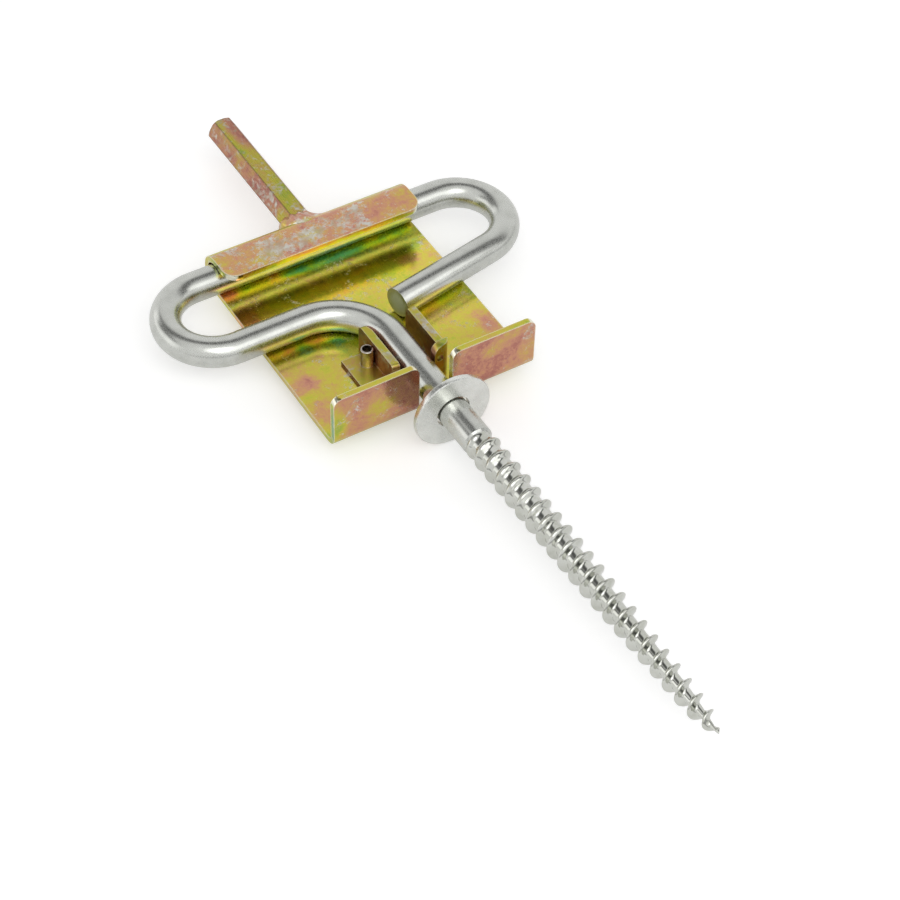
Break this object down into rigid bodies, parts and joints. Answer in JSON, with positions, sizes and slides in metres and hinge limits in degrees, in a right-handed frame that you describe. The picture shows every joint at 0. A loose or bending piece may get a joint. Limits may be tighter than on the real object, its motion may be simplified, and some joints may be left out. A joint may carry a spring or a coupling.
{
  "type": "screw-in loop with hex driver",
  "caption": "Round-bar loop screw with a tapered wood thread and a loose flat washer, seated in a folded sheet driver with a hex shank.",
  "frame": {"origin": "the point where the screw's axis meets the washer's bearing face", "axes": "-Y along the screw towards its tip, +Y along the hex shank, +Z out of the driver's plate towards its lip and tabs, +X to the right with the loop's free leg on the +X side"},
  "size_m": [0.1553, 0.348, 0.031],
  "materials": {
    "yellow_zinc": "yellow zinc passivate, satin with iridescent tints",
    "yellow_zinc_bar": "yellow zinc passivate on drawn hex bar",
    "weld": "yellow zinc passivate over a weld bead",
    "pin_steel": "polished spring steel",
    "bright_zinc": "bright zinc plate",
    "bright_zinc_washer": "bright zinc plate"
  },
  "bodies": {
    "driver": {"driver_plate": "yellow_zinc", "drive_shank": "yellow_zinc_bar", "weld_right": "weld", "weld_left": "weld", "left_guide": "yellow_zinc", "right_guide": "yellow_zinc", "spring_pin": "pin_steel"},
    "loop": {"loop_screw": "bright_zinc"},
    "washer": {"washer": "bright_zinc_washer"}
  },
  "joints": [
    {"name": "loop_tilt", "type": "hinge", "parent": "driver", "child": "loop", "pos_m": [0, 0.105, 0], "axis": [-1, 0, 0], "range_deg": [0, 120]},
    {"name": "washer_slide", "type": "slide", "parent": "loop", "child": "washer", "axis": [0, 1, 0], "range_m": [-0.17, 0.0095]}
  ]
}
